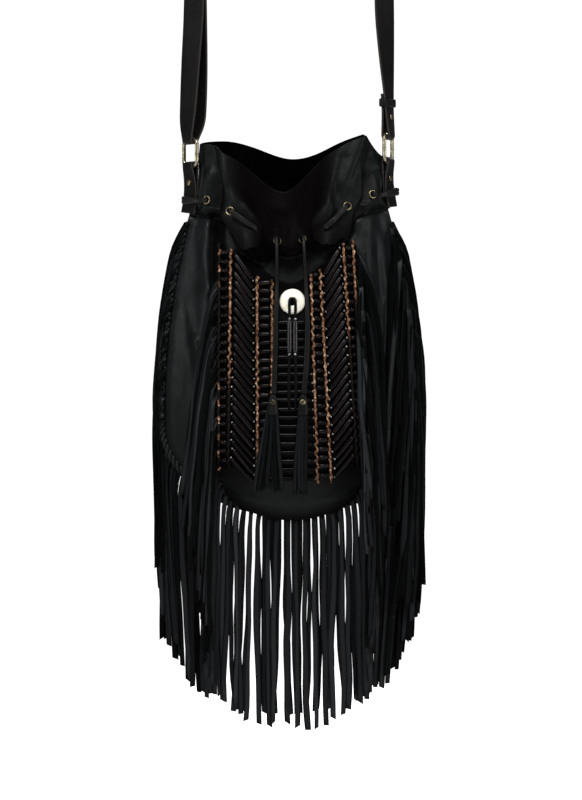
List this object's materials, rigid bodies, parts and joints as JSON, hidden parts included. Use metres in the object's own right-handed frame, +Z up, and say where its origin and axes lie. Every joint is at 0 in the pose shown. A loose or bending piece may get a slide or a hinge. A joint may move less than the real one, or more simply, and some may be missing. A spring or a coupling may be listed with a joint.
{
  "type": "leather shoulder bag",
  "caption": "Soft black leather drawstring shoulder bag with laced seams, long cut fringe, a bead-worked front panel with a bone button, and a strap on rings; hangs by its strap, mouth open.",
  "frame": {"origin": "underside of the strap at its highest point, where the bag hangs", "axes": "+Z up, +X to the right as seen from the front, the beaded front faces -Y"},
  "size_m": [0.3048, 0.114, 1.1342],
  "materials": {
    "black_leather": "soft black cowhide with a slight sheen",
    "tan_leather": "raw cut edge of tan leather",
    "dark_bead": "polished dark horn",
    "bone": "polished white bone",
    "antique_brass": "aged brass"
  },
  "bodies": {
    "root": {"front_body": "black_leather", "back_body": "black_leather", "collar": "black_leather", "edge_lacing": "black_leather", "side_fringe": "black_leather", "bead_panel": "black_leather", "panel_fringe": "black_leather", "hairpipes_left": "dark_bead", "hairpipes_right": "dark_bead", "hairpipes_centre": "dark_bead", "ladder_beads_1": "dark_bead", "ladder_beads_2": "dark_bead", "ladder_beads_3": "dark_bead", "ladder_beads_4": "dark_bead", "spacer_1": "tan_leather", "spacer_2": "tan_leather", "spacer_3": "tan_leather", "spacer_4": "tan_leather", "spacer_5": "tan_leather", "spacer_6": "tan_leather", "spacer_7": "tan_leather", "spacer_8": "tan_leather", "button_disc": "bone", "button_thong": "black_leather", "pendant_tube_left": "dark_bead", "pendant_tube_right": "dark_bead", "eyelet_01": "antique_brass", "eyelet_02": "antique_brass", "eyelet_03": "antique_brass", "eyelet_04": "antique_brass", "eyelet_05": "antique_brass", "eyelet_06": "antique_brass", "eyelet_07": "antique_brass", "eyelet_08": "antique_brass", "eyelet_09": "antique_brass", "eyelet_10": "antique_brass", "eyelet_11": "antique_brass", "eyelet_12": "antique_brass", "drawcord": "black_leather", "drawcord_end_left": "black_leather", "drawcord_end_right": "black_leather", "tassel_left": "black_leather", "tassel_right": "black_leather", "tassel_rivet_left": "antique_brass", "tassel_rivet_right": "antique_brass", "strap": "black_leather", "strap_keeper": "black_leather", "strap_rivet": "antique_brass", "ring_left": "antique_brass", "ring_right": "antique_brass", "ring_tab_left": "black_leather", "ring_tab_right": "black_leather", "tab_rivet_left": "antique_brass", "tab_rivet_right": "antique_brass"}
  },
  "joints": []
}
